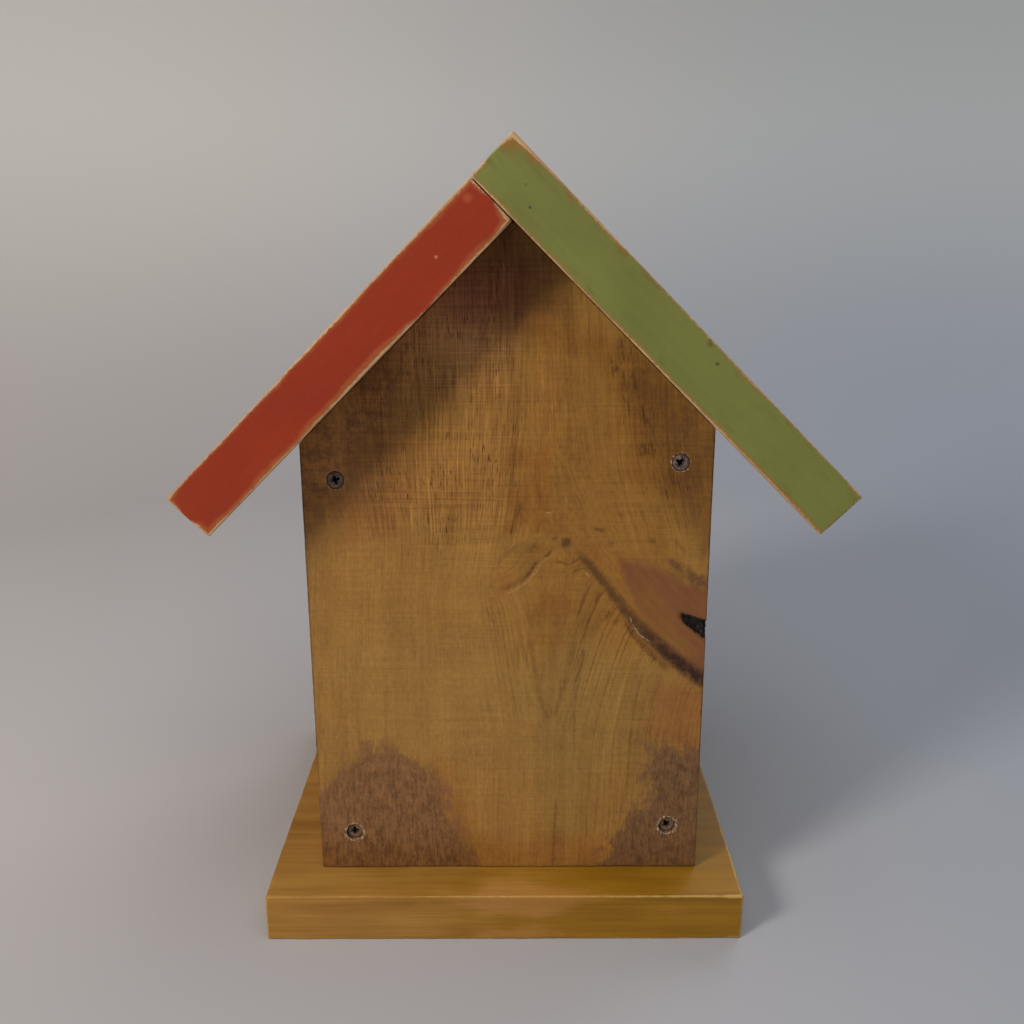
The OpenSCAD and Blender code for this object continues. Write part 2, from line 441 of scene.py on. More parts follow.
PINE_LIGHT = linear(204, 153, 74)
PINE_DARK = linear(106, 64, 22)
PORE_BROWN = linear(84, 46, 20)
BARK_BROWN = linear(62, 34, 26)
BARK_SHADE = linear(96, 60, 30)
KNOT_BLACK = linear(28, 22, 20)
SMUDGE_BROWN = linear(92, 54, 44)
ROOF_MOTTLE_BROWN = linear(90, 58, 44)
STAIN_BROWN = linear(142, 101, 66)
STAIN_DARK = linear(112, 75, 48)
RAW_LIGHT = linear(222, 186, 136)
RAW_DARK = linear(186, 144, 94)
SPLINTER = linear(222, 200, 166)
RING_TINT = (0.56, 0.46, 0.36, 1.0)
LINE_TINT = (0.38, 0.27, 0.18, 1.0)


def stained_pine(name, featured=False):
    """Pine with an amber stain, and bare where the mesh stores raw as 1. featured adds the back's marks."""
    s = Shader(name)
    place = s.read("place", "Vector")
    _, through, along = s.split(place)
    grain = s.join(s.read("rings"), s.add(through, s.read("side")), along)
    bands = s.noise(grain, (6.5, 9.0, 150.0))
    streaks = s.noise(grain, (1.25, 3.0, 42.0))
    threads = s.noise(grain, (0.62, 2.0, 16.0), roughness=0.6)
    pores = s.noise(grain, (0.42, 2.0, 4.2), detail=1.0)
    saw = s.noise(place, (30.0, 9.0, 0.8), roughness=0.6)
    flecks = s.noise(place, (1.3, 1.3, 2.2))
    cloud = s.noise(place, (30.0, 30.0, 34.0))
    patches = s.noise(place, (7.0, 7.0, 11.0), detail=3.0)

    # How strongly bands, streaks and saw marks show where the grain isn't combed out, and where it is
    combed = s.read("combed")
    calm = (0.3, 0.22, 0.3) if featured else (0.8, 0.6, 0.05)
    full = (0.35, 0.5, 0.62)
    band_swing, streak_swing, saw_swing = (s.ramp(combed, 0, 1, a, b) for a, b in zip(calm, full))
    light = s.share((cloud, 0.34), (patches, 0.2), (flecks, 0.36), (bands, band_swing),
                    (streaks, streak_swing), (threads, s.ramp(combed, 0, 1, 0.26, 1.1)), (saw, saw_swing))
    stained = s.mix(light, PINE_DARK, PINE_LIGHT)
    cluster = s.ramp(s.noise(place, (9.0, 20.0, 14.0), detail=1.0), 0.4, 0.62)
    dash = s.times(s.ramp(pores, 0.59, 0.7), cluster, s.ramp(combed, 0, 1, 0.12, 0.95))
    stained = s.mix(dash, stained, PORE_BROWN)
    height = s.add(s.times(threads, 0.4), s.times(streaks, 0.3), s.times(saw, 0.4), s.times(dash, -0.7))
    if featured:
        stained, height = back_panel_marks(s, stained, height, place, grain, streaks)
    bare = s.mix(s.share((bands, 1.6), (threads, 0.9)), RAW_DARK, RAW_LIGHT)
    return s.finished(s.mix(s.read("raw"), stained, bare), s.ramp(streaks, 0.3, 0.7, 0.5, 0.66),
                      s.relief(height, 0.14), specular=0.35)


def back_panel_marks(s, colour, height, place, grain, streaks):
    """Heartwood wedge, bark line, creases, knots, old stains and torn screw holes of the back panel."""
    fray = s.noise(place, (1.1, 1.1, 1.9), detail=3.0, roughness=0.65)
    wander = s.noise(place, (5.0, 5.0, 7.0))
    grains = s.noise(place, (0.62, 0.62, 1.3), detail=3.0, roughness=0.7)
    lumps = s.noise(place, (4.5, 4.5, 4.5), detail=5.0, roughness=0.75)
    growth = s.noise(grain, (1.0, 3.0, 90.0), detail=1.0)
    strokes = s.noise(place, (1.2, 1.2, 5.5), detail=4.0, roughness=0.7)
    sunk = s.split(place)[1]

    # Growth rings, the panel's uneven tone and its dark side edges
    ringed = s.times(s.ramp(growth, 0.48, 0.7), s.read("growth"), s.ramp(wander, 0.32, 0.5, 0.3, 1.0))
    colour = s.mix(s.times(ringed, 0.8), colour, s.tinted(colour, RING_TINT))
    colour = s.tinted(colour, s.read("tone", "Vector"))
    rim = s.ramp(s.read("rim"), 0.9, 0.2)
    colour = s.mix(s.times(rim, s.ramp(fray, 0.3, 0.55), 0.7), colour, PORE_BROWN)

    # The heartwood wedge and the fine dark lines
    heart = s.ramp(s.swung(s.read("heart"), (wander, 3.5), (fray, 2.5)), -2.0, 1.8)
    heartwood = s.mix(s.share((streaks, 0.9), (wander, 0.9)), linear(122, 73, 40), linear(150, 96, 56))
    colour = s.mix(s.times(heart, s.read("heart_share")), colour, heartwood)
    line = s.math("ABSOLUTE", s.swung(s.read("line"), (fray, 1.1)))
    drawn = s.times(s.ramp(line, s.times(s.read("line_width"), 2.2), 0.0), s.read("line_dark"),
                    s.ramp(wander, 0.36, 0.56, 0.35, 1.0), s.ramp(grains, 0.3, 0.55, 0.5, 1.0))
    colour = s.mix(drawn, colour, s.tinted(colour, LINE_TINT))

    # The bark line, wide and brown at first, with its dark core
    off_bark = s.math("ABSOLUTE", s.swung(s.read("bark"), (fray, 2.4), (lumps, 1.6), (grains, 0.8)))
    width, dark = s.read("bark_width"), s.read("bark_dark")
    shaded = s.times(s.ramp(off_bark, s.times(width, 1.5), 0.4), s.ramp(dark, 0.0, 0.45))
    colour = s.mix(s.times(shaded, 0.62), colour, BARK_SHADE)
    core = s.times(s.ramp(off_bark, width, s.times(width, 0.2)), dark)
    colour = s.mix(s.times(core, s.ramp(lumps, 0.34, 0.56, 0.4, 1.0)), colour, BARK_BROWN)

    pale = s.math("ABSOLUTE", s.swung(s.read("pale"), (fray, 0.8)))
    pale_line = s.times(s.ramp(pale, 0.34, 0.0), s.read("pale_light"), s.ramp(grains, 0.4, 0.6))
    colour = s.mix(pale_line, colour, SPLINTER)

    # The brown smudge above the wedge, the knot hole and the small knots
    smudge = s.times(s.ramp(s.swung(s.read("smudge"), (wander, 4.0), (fray, 4.0)), -1.8, 1.2),
                     s.ramp(lumps, 0.4, 0.56, 0.35, 1.0))
    colour = s.mix(s.times(smudge, 0.7), colour, SMUDGE_BROWN)
    colour = s.mix(s.ramp(s.swung(s.read("knot"), (fray, 2.0)), -0.3, 0.3), colour, KNOT_BLACK)
    eye = s.ramp(s.swung(s.read("eye"), (fray, 2.2)), -0.9, 1.3)
    colour = s.mix(s.times(eye, 0.72), colour, BARK_BROWN)

    # The old stains, in lumps, strokes and grains of darker and lighter brown, and darker brown mottled
    # patches under the roof boards
    outline = s.swung(s.read("blotch"), (wander, 15.0), (fray, 9.0), (strokes, 16.0), (lumps, 8.0))
    stain = s.ramp(outline, -3.2, 2.6)
    stained = s.mix(s.ramp(lumps, 0.38, 0.62), STAIN_DARK, STAIN_BROWN)
    for noise, none, full, share, tint in (
            (wander, 0.42, 0.62, 0.3, linear(150, 98, 70)),
            (strokes, 0.48, 0.38, 0.7, linear(84, 54, 36)),
            (strokes, 0.53, 0.63, 0.4, linear(170, 128, 82)),
            (grains, 0.58, 0.72, 0.45, linear(186, 146, 102)),
            (grains, 0.44, 0.3, 0.45, linear(82, 52, 36))):
        stained = s.mix(s.times(s.ramp(noise, none, full), share), stained, tint)
    stained = s.tinted(stained, s.read("stain_tone", "Vector"))
    colour = s.mix(s.times(stain, 0.88), colour, stained)
    grime = s.times(s.read("grime"), s.ramp(lumps, 0.42, 0.6))
    colour = s.mix(s.times(grime, 0.5), colour, ROOF_MOTTLE_BROWN)

    # The wood torn round the screws, and their holes, darker the deeper in: painted shade in the holes, over
    # dirty wood
    gap = s.read("screw_gap")
    torn = s.times(s.ramp(s.swung(gap, (fray, 2.0)), s.read("torn"), 0.0), s.ramp(grains, 0.49, 0.56))
    colour = s.mix(s.times(torn, 0.9), colour, SPLINTER)
    # Painted shade: darker where the surface is sunk into a screw hole, over dirty wood
    colour = s.mix(s.times(s.ramp(sunk, 0.25, 0.8), s.ramp(gap, 1.5, 0.8), 0.6), colour, BARK_BROWN)
    return colour, s.add(height, s.times(core, -0.8), s.times(drawn, -0.5), s.times(torn, 0.4))


def arris_gap(s, place, half):
    """Distance from the nearest arris of a box-shaped board, for a place from its middle, in millimetres."""
    gaps = [s.math("SUBTRACT", h, s.math("ABSOLUTE", p)) for h, p in zip(half, s.split(place))]
    low = s.math("MINIMUM", gaps[0], gaps[1])
    high = s.math("MAXIMUM", gaps[0], gaps[1])
    return s.math("MAXIMUM", low, s.math("MINIMUM", high, gaps[2]))


def painted_board(name, paint, deep, fade, smear, half, flecks=()):
    """Matt paint over pine, rubbed through along the arrises as far as the stored wear says. fade is the
    colour of thin paint, smear of soiled paint, and flecks are (centre, radius, colour) of marks in it."""
    s = Shader(name)
    place = s.read("place", "Vector")
    wear = s.read("wear")
    fray = s.noise(place, (1.3, 1.8, 0.7), detail=4.0, roughness=0.75)
    chips = s.noise(place, (1.3, 1.3, 0.4), detail=3.0, roughness=0.7)
    brush = s.noise(place, (60.0, 60.0, 1.8), detail=3.0, roughness=0.6)
    mottle = s.noise(place, (30.0, 40.0, 12.0), detail=3.0)
    dirt = s.noise(place, (9.0, 9.0, 3.5), detail=4.0, roughness=0.65)
    wood = s.noise(place, (26.0, 26.0, 0.7), detail=3.0, roughness=0.6)
    grit = s.noise(place, (0.9, 0.9, 0.5))

    gap = arris_gap(s, place, half)
    ragged = s.ramp(wear, 0.05, 0.6, 0.12, 1.0)
    edge = s.add(gap, s.times(s.swung(0.0, (fray, 1.3), (chips, 2.0)), ragged))
    bare_share = s.ramp(s.math("SUBTRACT", s.times(wear, 0.55), edge), -0.3, 0.25)
    fade_share = s.times(s.ramp(s.math("SUBTRACT", s.times(wear, 1.6), edge), -0.5, 1.0),
                         s.ramp(chips, 0.36, 0.6, 0.4, 1.0), s.ramp(wear, 0.2, 0.5))
    outline = s.ramp(s.add(gap, s.times(wear, 2.0)), 0.5, 0.1)

    colour = s.mix(s.share((mottle, 1.4), (brush, 0.6)), deep, paint)
    colour = s.mix(s.times(s.ramp(gap, 6.5, 0.5), s.ramp(dirt, 0.5, 0.68), 0.45), colour, smear)
    for centre, size, tint in flecks:
        mark = s.ramp(s.swung(s.spot(place, centre, size), (chips, 0.8), (fray, 1.2)), 0.3, 1.0)
        colour = s.mix(mark, colour, tint)
    colour = s.mix(s.times(outline, 0.45), colour, PORE_BROWN)
    colour = s.mix(s.times(fade_share, 0.75), colour, fade)
    bare = s.mix(s.share((wood, 2.0)), linear(172, 126, 80), linear(222, 184, 138))
    height = s.add(s.times(brush, 0.5), s.times(grit, 0.3), s.times(bare_share, -0.5))
    return s.finished(s.mix(bare_share, colour, bare), s.ramp(fray, 0.3, 0.7, 0.56, 0.72),
                      s.relief(height, 0.1), specular=0.3)


def golden_base(name, half):
    """Golden translucent finish with the grain along X, sanded through on the arrises."""
    s = Shader(name)
    place = s.read("place", "Vector")
    fray = s.noise(place, (3.0, 1.2, 0.9), detail=4.0, roughness=0.7)
    grain = s.noise(place, (80.0, 5.0, 2.6), distortion=0.5)
    fine = s.noise(place, (26.0, 1.3, 0.8), detail=3.0, roughness=0.6)
    cloud = s.noise(place, (30.0, 24.0, 14.0))
    light = s.math("ADD", s.swung(0.46, (grain, 0.7), (fine, 0.55), (cloud, 0.5)), 0.0, clamp=True)
    golden = s.mix(light, linear(120, 80, 11), linear(178, 130, 28))
    woody = s.mix(light, linear(146, 93, 38), linear(208, 162, 90))
    woody_share = s.ramp(s.swung(s.times(s.split(place)[0], -1.0), (cloud, 90.0)), -25.0, 50.0)
    colour = s.mix(s.times(woody_share, 0.6), golden, woody)
    rosy = s.ramp(s.swung(s.read("rosy"), (cloud, 1.2), (fray, 0.7)), 0.3, 0.8)
    colour = s.mix(s.times(rosy, 0.3), colour, linear(206, 142, 88))
    edge = s.swung(arris_gap(s, place, half), (fray, 1.0))
    bare_share = s.ramp(s.math("SUBTRACT", s.read("wear"), edge), -0.3, 0.4)
    colour = s.mix(s.times(bare_share, 0.6), colour, linear(216, 178, 108))
    height = s.add(s.times(fine, 0.6), s.times(grain, 0.4))
    return s.finished(colour, s.ramp(fine, 0.3, 0.7, 0.42, 0.58), s.relief(height, 0.08), specular=0.3)


def steel(name, dark, bright, roughness, dirty_and_shaded=False):
    """Zinc-plated steel. The last switch adds dirt, as the mesh's soil says, and darkens the head most in the
    recess and at the rim: the near-black centre is painted shade of the recess, with dirt in it, and the dark
    rim is partly dirt and partly painted shade. out is the share of the head's radius."""
    s = Shader(name)
    place = s.object_place()
    scratches = s.noise(place, (0.35, 0.35, 0.35), detail=4.0, roughness=0.7)
    cloud = s.noise(place, (1.6, 1.6, 1.6))
    colour = s.mix(s.ramp(s.add(s.times(scratches, 0.6), s.times(cloud, 0.4)), 0.38, 0.62), dark, bright)
    if dirty_and_shaded:
        soil = s.read("soil")
        specks = s.noise(place, (0.5, 0.5, 0.5), detail=3.0, roughness=0.7)
        dust = s.mix(soil, linear(84, 56, 40), linear(138, 104, 80))
        clean = s.ramp(s.add(specks, s.times(soil, -0.12)), 0.38, 0.54)
        colour = s.mix(clean, dust, colour)
        out = s.swung(s.read("out"), (specks, 1.1))
        # Painted shade: near black over the middle of the head, where the recess is, with some dirt
        colour = s.mix(s.ramp(out, 0.5, 0.3), colour, linear(30, 20, 18))
        # Dark rim, partly dirt and partly painted shade, so the head blends with the wood round it
        colour = s.mix(s.times(s.ramp(out, 0.82, 0.97), 0.85), colour, linear(84, 56, 38))
    return s.finished(colour, s.ramp(cloud, 0.3, 0.7, roughness - 0.1, roughness + 0.12),
                      s.relief(scratches, 0.02), metallic=0.3 if dirty_and_shaded else 0.8)


def dowel_wood(name):
    """Bare dowel, with its grain along Y."""
    s = Shader(name)
    place = s.object_place()
    streaks = s.noise(place, (0.9, 22.0, 0.9), detail=3.0, roughness=0.6)
    pores = s.noise(place, (0.3, 3.0, 0.3), detail=1.0)
    colour = s.mix(s.ramp(streaks, 0.35, 0.65), linear(170, 118, 62), linear(208, 158, 96))
    colour = s.mix(s.times(s.ramp(pores, 0.62, 0.74), 0.5), colour, PORE_BROWN)
    return s.finished(colour, s.ramp(streaks, 0.3, 0.7, 0.5, 0.65),
                      s.relief(s.add(streaks, s.times(pores, -0.4)), 0.06))


# ---------------------------------------------------------------- the back panel's own marks
# Places are (x, z) in millimetres from the middle of the panel's foot.
EYE = (20.2, 128.0)
EYE_SIDE = (16.4, 129.5)
EYE_FAR = (35.9, 127.3)
# The middle of the grain, and how far it parts there round the knots, as (z, x) and (z, distance)
AXIS = [(0, 13), (61, 14.4), (95, 16.2), (128, 19.0), (155, 15), (236, 13)]
PARTING = [(0, 0), (45, 0), (55, 0.3), (62, 1.6), (70, 3.6), (80, 6.0), (90, 8.6), (100, 11), (110, 13.2),
           (118, 14.2), (127, 13.2), (136, 9), (150, 4.6), (170, 1.8), (190, 0.6), (215, 0)]
BARK = [(24.2, 124.8), (28.6, 119.5), (32.5, 114.9), (36.2, 109.8), (39.2, 105.7), (42.4, 101.5),
        (46.6, 96.6), (53.0, 90.4), (60.4, 83.6), (68.6, 77.2), (73.0, 75.0)]
WEDGE = [(22.5, 128.0), (30.2, 128.5), (36, 127), (46.3, 121.5), (55.4, 118.0), (64.6, 112.2), (72, 107.5),
         (72, 76.5), (66.5, 78.5), (60.4, 82.7), (55.2, 87.8), (49.6, 94), (43.6, 100.2), (38.9, 106),
         (29.3, 119)]
HEART = [(37.0, 124.6), (41.5, 122.0), (46.3, 120.0), (52.3, 118.1), (57.1, 116.2), (61.9, 113.0),
         (69.7, 110.2), (74.0, 108.5), (74.0, 75.0), (69.9, 78.6), (65.5, 82.5), (60.5, 87.1), (55.5, 92.3),
         (51.2, 96.4), (47.6, 101.0), (44.6, 105.9), (42.4, 111.0), (40.4, 116.5)]
AMBER = [(44.2, 111.5), (50.5, 112.5), (57.0, 103.5), (61.0, 93.5), (66.0, 86.0), (61.0, 85.0), (52.0, 94.0)]
CREASE = [(16.4, 125.9), (14.2, 123.6), (11.7, 121.9), (9.8, 120.2), (7.6, 116.7), (5.4, 114.6),
          (3.5, 113.2), (0.9, 111.7), (-1.8, 110.8)]
CHEVRON = [(17.0, 128.5), (15.3, 131.2), (10.4, 129.7), (2.0, 125.4), (-3.5, 120.0), (-4.0, 109.0),
           (0, 110.5), (6.4, 114.5), (13.4, 122.4)]
KNOT = [(59.4, 102.3), (63.5, 101.3), (67.1, 99.9), (72.0, 98.9), (72.0, 90.2), (67.4, 93.4), (64.2, 96.1),
        (61.6, 98.6)]
SMUDGE = [(56.0, 121.5), (60.3, 119.6), (66.0, 115.8), (72.0, 113.5), (72.0, 109.8), (65.5, 112.0),
          (59.5, 116.2)]
BLOTCHES = [
    [(-74, -4), (-73, 29), (-68.8, 33), (-63.6, 38.2), (-58.7, 43.9), (-53.8, 48.4), (-45.7, 51),
     (-39.0, 48.8), (-36.0, 44.5), (-29.9, 42.5), (-25.6, 38.5), (-23.6, 33), (-22.5, 26.5), (-21.3, 22),
     (-18.6, 16), (-15.5, 11), (-13.0, 6), (-13.4, -4)],
    [(74, -4), (74, 49.2), (50.4, 49.4), (50.6, 27.4), (45.4, 25.5), (42.8, 19.5), (39.6, 13), (36.1, 6.5),
     (30.5, 1.6), (30.5, -4)],
]
# Short dark dashes down the grain at the upper right, as (x, its top, its foot)
DASHES = [(34.6, 193, 184), (38.0, 199, 190), (38.9, 188, 180), (42.3, 188, 180), (45.5, 177, 168),
          (46.0, 165, 158), (48.9, 164, 157), (49.8, 154, 147), (44.6, 163, 157), (36.4, 190, 186),
          (40.5, 178, 172), (52.5, 160, 155), (47.6, 172, 168), (54.2, 148, 142), (43.8, 196, 192)]
# (line, half width at its start and end, darkness)
LINES = [
    (CREASE, 0.35, 0.6, 0.95),
    ([(16.4, 121.6), (18.7, 120.6), (20.9, 119.8), (23.6, 121.0), (25.8, 123.0)], 0.4, 0.4, 0.6),
    ([(22.0, 116.0), (23.7, 117.8), (26.4, 118.4), (28.6, 117.2)], 0.4, 0.5, 0.6),
    ([(11.7, 127.4), (9.3, 126.0), (7.1, 123.9)], 1.3, 1.0, 0.4),
    ([(3.8, 127.1), (1.3, 124.8), (-2.3, 121.9), (-3.2, 119.0)], 0.5, 0.7, 0.45),
    ([(4.1, 143.4), (3.8, 138.6), (3.0, 135.1), (1.3, 131.7), (0.5, 128.9)], 0.45, 0.8, 0.65),
    ([(12.0, 136.3), (10.9, 133.4), (9.8, 130.8)], 0.5, 0.4, 0.6),
    ([(35.3, 129.0), (36.7, 126.4)], 0.4, 0.6, 0.6),
    ([(7.0, 97.4), (8.2, 88.7), (10.3, 76.3), (12.0, 66.4), (15.0, 60.0)], 0.5, 0.8, 0.36),
    ([(24.5, 92.1), (22.5, 83.3), (20.2, 74.5), (16.2, 61.5)], 0.5, 0.8, 0.34),
    ([(3.5, 101.2), (3.9, 80.2)], 0.3, 0.3, 0.4),
    ([(-7.9, 105.0), (-4.5, 97.0)], 0.4, 0.3, 0.35),
    ([(29.4, 103.8), (27.3, 94.5), (26.5, 83.1), (24.0, 68.5), (23.8, 52.6)], 0.35, 0.4, 0.42),
    ([(33.0, 110.5), (30.2, 104.6)], 0.7, 0.45, 0.8),
    ([(36.6, 103.4), (33.6, 98.4)], 0.6, 0.4, 0.7),
    ([(34.0, 101.5), (31.4, 95.0)], 0.3, 0.3, 0.5),
    ([(39.5, 100.2), (37.2, 96.4)], 0.5, 0.4, 0.6),
    ([(48.8, 83.0), (46.4, 71.4), (44.2, 52.6), (43.4, 28.1)], 0.35, 0.4, 0.38),
    ([(17.6, 28.2), (16.4, -2)], 0.4, 0.4, 0.4),
    ([(29.2, 133.3), (31.4, 132.6), (34.2, 131.9)], 0.5, 0.8, 0.9),
    ([(7.1, 148.0), (6.5, 139.7), (5.7, 134.7)], 0.8, 1.2, 0.45),
    ([(10.4, 148.6), (12.3, 139.6)], 0.6, 1.0, 0.35),
    ([(-25.0, 143.7), (-2.6, 143.3)], 0.25, 0.25, 0.5),
    ([(41.2, 99.0), (44.0, 94.0), (47.0, 90.6), (50.2, 87.2), (54.6, 82.4), (59.2, 79.3)], 0.7, 1.1, 0.85),
    ([(57.4, 129.5), (62.5, 123.0)], 0.5, 0.7, 0.4),
    ([(48.5, 130.5), (53.5, 124.5)], 0.4, 0.6, 0.35),
] + [([(x - 0.6, top), (x + 0.4, (top + foot) / 2), (x + 0.9, foot)], 0.2, 0.36, 0.85)
     for x, top, foot in DASHES]
# (line, lightness)
PALE_LINES = [
    ([(42.6, 101.6), (43.9, 97.8), (46.3, 94.0), (50.7, 90.8)], 0.6),
    ([(11.0, 118.9), (6.9, 113.6), (2.4, 110.6), (-1.0, 109.0)], 0.25),
    ([(12.2, 138.7), (15.8, 138.6)], 0.9),
    ([(26.8, 118.0), (29.0, 114.5)], 0.5),
]


def box(x0, z0, x1, z1):
    return [(x0, z0), (x1, z0), (x1, z1), (x0, z1)]


# (outline, softness in millimetres, how its colour differs from the rest, in red, green and blue)
TONES = [
    ([(36, 206), (72, 172), (72, 126), (57, 138), (51, 158), (41, 181)], 6, (0.67, 0.61, 0.48)),
    ([(-76, 166), (-40, 202), (-32, 190), (-37, 172), (-48, 155), (-58, 138), (-76, 126)], 8,
     (1.1, 0.98, 0.98)),
    # Darker at the apex, in the corner under the ridge: painted shade, with some dark stain
    ([(-24, 214), (0, 238), (16, 218), (6, 204), (-12, 200)], 8, (0.6, 0.48, 0.56)),
    ([(-36, 170), (-16, 188), (2, 194), (2, 140), (-20, 134), (-37, 148)], 9, (0.98, 0.93, 0.88)),
    ([(9.5, 205), (16.5, 205), (17, 146), (11.5, 146)], 3, (1.16, 1.14, 1.08)),
    ([(9.4, 108.4), (24.3, 108.1), (22.7, 103.4), (17.2, 91.7), (11.0, 102.6)], 1.5, (0.92, 0.85, 0.8)),
    ([(7.5, 96), (24, 93), (15.8, 59)], 2, (0.97, 0.93, 0.9)),
    ([(4, 215), (58, 184), (60, 88), (4, 88)], 10, (0.91, 0.85, 0.7)),
    (box(-76, -4, -8, 14), 6, (0.84, 0.78, 0.58)),
    ([(22, 128), (30.2, 128.5), (41, 123.6), (41, 105.5), (29.9, 118.5)], 2, (1.02, 0.96, 0.92)),
    ([(-3.5, 120.4), (2, 119.3), (2.4, 112.4), (0.4, 109.8), (-5, 108)], 1.6, (1.0, 0.93, 0.86)),
    ([(2, 125.1), (6.9, 128.7), (15.4, 128.1), (13.9, 122.9), (6.9, 116.1), (2.4, 112.4)], 1.6,
     (0.88, 0.9, 0.86)),
    ([(48, 68), (59, 75), (72, 73), (72, 50), (48, 52)], 4, (0.92, 0.78, 0.84)),
    ([(-10, 11), (37, 12), (37, -3), (-10, -3)], 5, (0.96, 0.84, 0.72)),
    # Painted light: lighter and bluer inside the red roof board's cast shadow, as fill light
    (box(-34, 182, -2, 216), 7, (1.28, 1.26, 1.66)),
    (box(-58, 130, -34, 166), 6, (0.86, 0.76, 0.78)),
    (box(-32, 134, -10, 162), 6, (1.04, 1.03, 1.06)),
    (box(2, 132, 15, 162), 4, (0.88, 0.77, 0.64)),
    (box(-76, 40, -66, 140), 4, (1.04, 1.08, 1.16)),
    ([(11, 102), (31, 102), (29, -4), (11, -4)], 6, (0.87, 0.89, 0.95)),
    ([(-34, 44), (-20, 44), (-14, 12), (-26, 12)], 5, (0.94, 0.86, 0.76)),
    ([(-60, 95), (60, 85), (60, 40), (-60, 50)], 14, (0.99, 1.04, 1.1)),
    # Painted light: lighter and bluer in the roof's shadow near the apex, as fill light
    ([(-38, 224), (16, 224), (14, 206), (2, 195), (-38, 193)], 5, (1.25, 1.22, 1.5)),
    # Painted light: lighter and bluer in the red roof board's shadow at the left eave, as fill light
    (box(-76, 147, -46, 180), 4, (1.22, 1.28, 1.5)),
    ([(12, 214), (50, 186), (50, 160), (72, 157), (72, 147), (38, 147), (36, 186), (12, 198)], 4,
     (0.88, 0.82, 0.74)),
]
UNDER_RED, UNDER_GREEN = TONES[1][0], TONES[0][0]          # the areas under the roof boards that are darker in mottled patches


def track(at, stops):
    """Value between stops (place, value), with rounded corners."""
    places, values = np.array(stops, float).T
    return np.mean([np.interp(at + shift, places, values) for shift in (-6, -3, 0, 3, 6)], 0)


def panel_place(points):
    """x and z of a point of the back panel from the middle of its foot, and both as one array."""
    x, z = points[:, 0] - PANEL_X, points[:, 2] - FOOT_Z
    return x, z, np.stack([x, z], 1)


def panel_rings(x, z, flat):
    """How far across the growth rings a point of the back panel is: straight grain, parted round the knot."""
    off = x - track(z, AXIS)
    bark = line_distance(flat, BARK)[0]
    crease = line_distance(flat, CREASE)[0]
    near_arm = np.exp(-np.minimum(np.abs(bark), np.abs(crease)) / 6.0)
    rings = np.abs(off) - track(z, PARTING) * np.exp(-(off / 44) ** 2) - 4.5 * near_arm
    wedge = smooth(inside_distance(flat, WEDGE), -0.6, 0.6)
    chevron = smooth(inside_distance(flat, CHEVRON), -0.8, 0.8)
    rings = rings + wedge * (60 + 0.8 * bark - rings)
    return rings + chevron * (90 + crease - rings)


def lines_field(flat, lines, reach=2.4):
    """Signed distance of each point from the nearest line, and that line's half width and strength."""
    nearest = np.full(len(flat), 1e9)
    signed = np.full(len(flat), 9.0)
    width = np.ones(len(flat))
    strength = np.zeros(len(flat))
    for line, start, end, dark in lines:
        distance, along = line_distance(flat, line)
        here = np.abs(distance) < nearest
        nearest = np.where(here, np.abs(distance), nearest)
        signed = np.where(here, distance, signed)
        width = np.where(here, start + (end - start) * along, width)
        length = np.linalg.norm(np.diff(np.array(line), axis=0), axis=1).sum()
        ends = smooth(along * length, 0.0, 2.0) * smooth((1 - along) * length, 0.0, 2.0)
        strength = np.where(here, dark * ends * smooth(np.abs(distance), reach, reach * 0.6), strength)
    return signed, width, strength


def back_relief(points):
    """Grooves and hollows of the back panel's outer face, as moves along Y."""
    x, z, flat = panel_place(points)
    bark, along = line_distance(flat, BARK)
    depth = 0.45 * np.exp(-(bark / 1.2) ** 2) * smooth(along, 0.02, 0.5)
    signed, _, strength = lines_field(flat, LINES)
    depth += 0.2 * strength * np.exp(-(signed / 0.8) ** 2)
    hollow = smooth(inside_distance(flat, KNOT), -0.4, 1.3)
    depth += hollow * (1.6 + 0.6 * ripple(points, (1.6, 9.0, 1.6), 21))
    depth += 0.07 * (1 + ripple(points, (30.0, 1e6, 60.0), 22))
    depth += 0.03 * (1 + ripple(np.stack([panel_rings(x, z, flat), z / 9], 1), 3.4, 23))
    move = np.zeros_like(points)
    move[:, 1] = smooth(points[:, 1], BACK_LOW[1] + 4, BACK_LOW[1] + 0.5) * depth
    return move


def screw_centre(node):
    """Middle of a back screw, the radius of its head, and whether it is sunk below the panel's face."""
    low, high = corners(node)
    return (low + high) / 2, (high[0] - low[0]) / 2, low[1] > BACK_LOW[1] + SUNK


